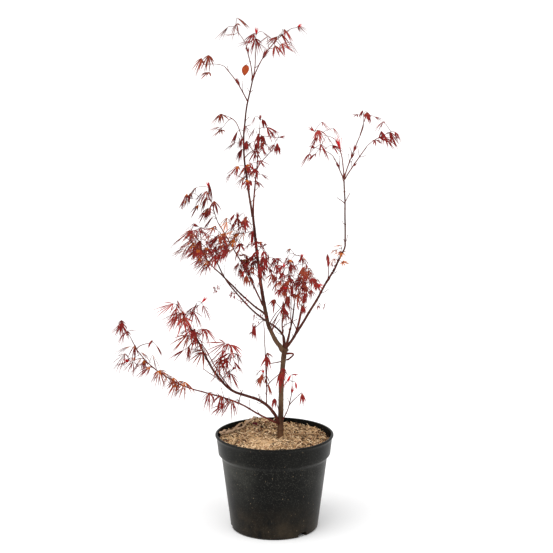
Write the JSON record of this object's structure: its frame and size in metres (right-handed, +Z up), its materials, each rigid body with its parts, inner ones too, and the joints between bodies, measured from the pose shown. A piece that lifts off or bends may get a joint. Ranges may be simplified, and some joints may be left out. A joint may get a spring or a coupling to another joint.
{
  "type": "potted japanese maple",
  "caption": "Young open-branched Japanese maple with strap-leaf foliage on a slim leaning trunk, in a round plastic nursery container topped with bark mulch.",
  "frame": {"origin": "centre of the container's flat underside, on its turning axis", "axes": "+Z up; the pictured front faces -Y and +X is its right, the side of the single tall right bough"},
  "size_m": [0.6748, 0.3448, 1.1887],
  "materials": {
    "pot_plastic": "satin black moulded plastic, dusty, with tan soil marks near the foot",
    "compost": "moist dark potting compost",
    "mulch": "dry shredded bark and wood fibre, tan to brown",
    "bark": "thin maroon-brown bark with paler streaks",
    "foliage": "thin red-brown strap leaves with orange and olive tints"
  },
  "bodies": {
    "root": {"nursery_pot": "pot_plastic", "potting_compost": "compost", "bark_mulch": "mulch", "trunk": "bark", "leader_lower": "bark", "right_bough_lower": "bark", "leader_upper": "bark", "leader_right_arm": "bark", "leader_side_shoot": "bark", "upper_left_shoot": "bark", "top_left_shoot": "bark", "top_middle_shoot": "bark", "top_right_shoot": "bark", "right_bough_upper": "bark", "crown_left_front_shoot": "bark", "crown_left_rear_shoot": "bark", "crown_right_front_shoot": "bark", "crown_right_rear_shoot": "bark", "left_rear_bough": "bark", "left_front_bough": "bark", "left_high_bough": "bark", "middle_rear_bough": "bark", "middle_front_bough": "bark", "right_rear_bough": "bark", "low_front_bough": "bark", "low_rear_bough": "bark", "knee_sprout": "bark", "foot_sprout": "bark", "dead_twig": "bark", "top_left_leaves": "foliage", "top_middle_leaves": "foliage", "top_right_leaves": "foliage", "top_right_tip_leaves": "foliage", "side_shoot_leaves": "foliage", "upper_left_leaves": "foliage", "mid_left_leaves": "foliage", "mid_right_leaves": "foliage", "lower_mid_leaves": "foliage", "crown_left_front_leaves": "foliage", "crown_left_rear_leaves": "foliage", "crown_right_front_leaves": "foliage", "crown_right_rear_leaves": "foliage", "right_bend_leaves": "foliage", "left_high_leaves": "foliage", "left_rear_leaves": "foliage", "left_front_leaves": "foliage", "left_inner_leaves": "foliage", "centre_leaves": "foliage", "centre_rear_leaves": "foliage", "centre_front_leaves": "foliage", "low_front_tip_leaves": "foliage", "low_front_outer_leaves": "foliage", "low_front_inner_leaves": "foliage", "low_rear_tip_leaves": "foliage", "low_rear_outer_leaves": "foliage", "low_rear_middle_leaves": "foliage", "low_rear_inner_leaves": "foliage", "knee_leaves": "foliage", "foot_leaves": "foliage"}
  },
  "joints": []
}
